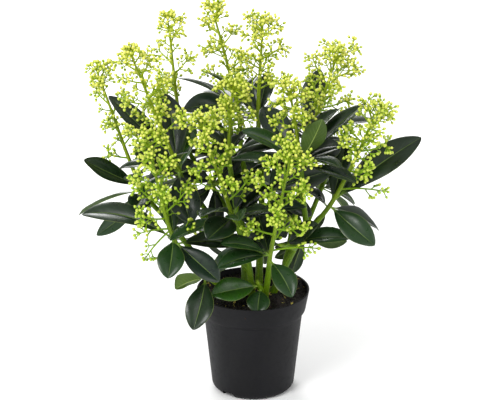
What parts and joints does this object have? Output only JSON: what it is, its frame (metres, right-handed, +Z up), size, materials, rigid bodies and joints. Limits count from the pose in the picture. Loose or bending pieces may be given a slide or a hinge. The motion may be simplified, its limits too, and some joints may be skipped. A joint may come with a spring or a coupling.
{
  "type": "potted skimmia",
  "caption": "Young skimmia shrub in bud: whorls of leathery dark leaves and green-yellow flower heads on bright green stems, growing in a round dark nursery pot.",
  "frame": {"origin": "centre of the pot's flat underside", "axes": "+Z up along the pot's axis, -Y towards the side that the low leaves hang over"},
  "size_m": [0.3902, 0.2925, 0.4419],
  "materials": {
    "pot_plastic": "dark anthracite injection-moulded plastic, satin",
    "potting_soil": "dark lumpy peat with bark chips",
    "green_wood": "smooth bright green young bark",
    "flower_buds": "green side branches with pale yellow-green buds",
    "leaves": "leathery glossy dark green leaves"
  },
  "bodies": {
    "root": {"pot": "pot_plastic", "soil": "potting_soil", "stem_front_left": "green_wood", "stem_front_middle": "green_wood", "stem_front_right": "green_wood", "stem_right": "green_wood", "stem_top_middle": "green_wood", "stem_rear_middle": "green_wood", "bough_far_left": "green_wood", "bough_upper_left": "green_wood", "bough_back_left": "green_wood", "bough_top_left": "green_wood", "bough_middle": "green_wood", "bough_upper_right": "green_wood", "bough_inner_right": "green_wood", "bough_rear_left": "green_wood", "bough_rear_right": "green_wood", "bough_rear_far_right": "green_wood", "flowers_front_left": "flower_buds", "flowers_front_middle": "flower_buds", "flowers_front_right": "flower_buds", "flowers_right": "flower_buds", "flowers_top_middle": "flower_buds", "flowers_rear_middle": "flower_buds", "flowers_far_left": "flower_buds", "flowers_upper_left": "flower_buds", "flowers_back_left": "flower_buds", "flowers_top_left": "flower_buds", "flowers_middle": "flower_buds", "flowers_upper_right": "flower_buds", "flowers_inner_right": "flower_buds", "flowers_rear_left": "flower_buds", "flowers_rear_right": "flower_buds", "flowers_rear_far_right": "flower_buds", "leaves_front_left": "leaves", "leaves_front_middle": "leaves", "leaves_front_right": "leaves", "leaves_right": "leaves", "leaves_top_middle": "leaves", "leaves_rear_middle": "leaves", "leaves_far_left": "leaves", "leaves_upper_left": "leaves", "leaves_back_left": "leaves", "leaves_top_left": "leaves", "leaves_middle": "leaves", "leaves_upper_right": "leaves", "leaves_inner_right": "leaves", "leaves_rear_left": "leaves", "leaves_rear_right": "leaves", "leaves_rear_far_right": "leaves", "leaves_low_left": "leaves", "leaves_low_front": "leaves", "leaves_low_right": "leaves", "leaves_low_rear_left": "leaves", "leaves_low_rear_right": "leaves", "leaves_low_rear": "leaves", "leaves_centre": "leaves", "leaves_centre_left": "leaves"}
  },
  "joints": []
}
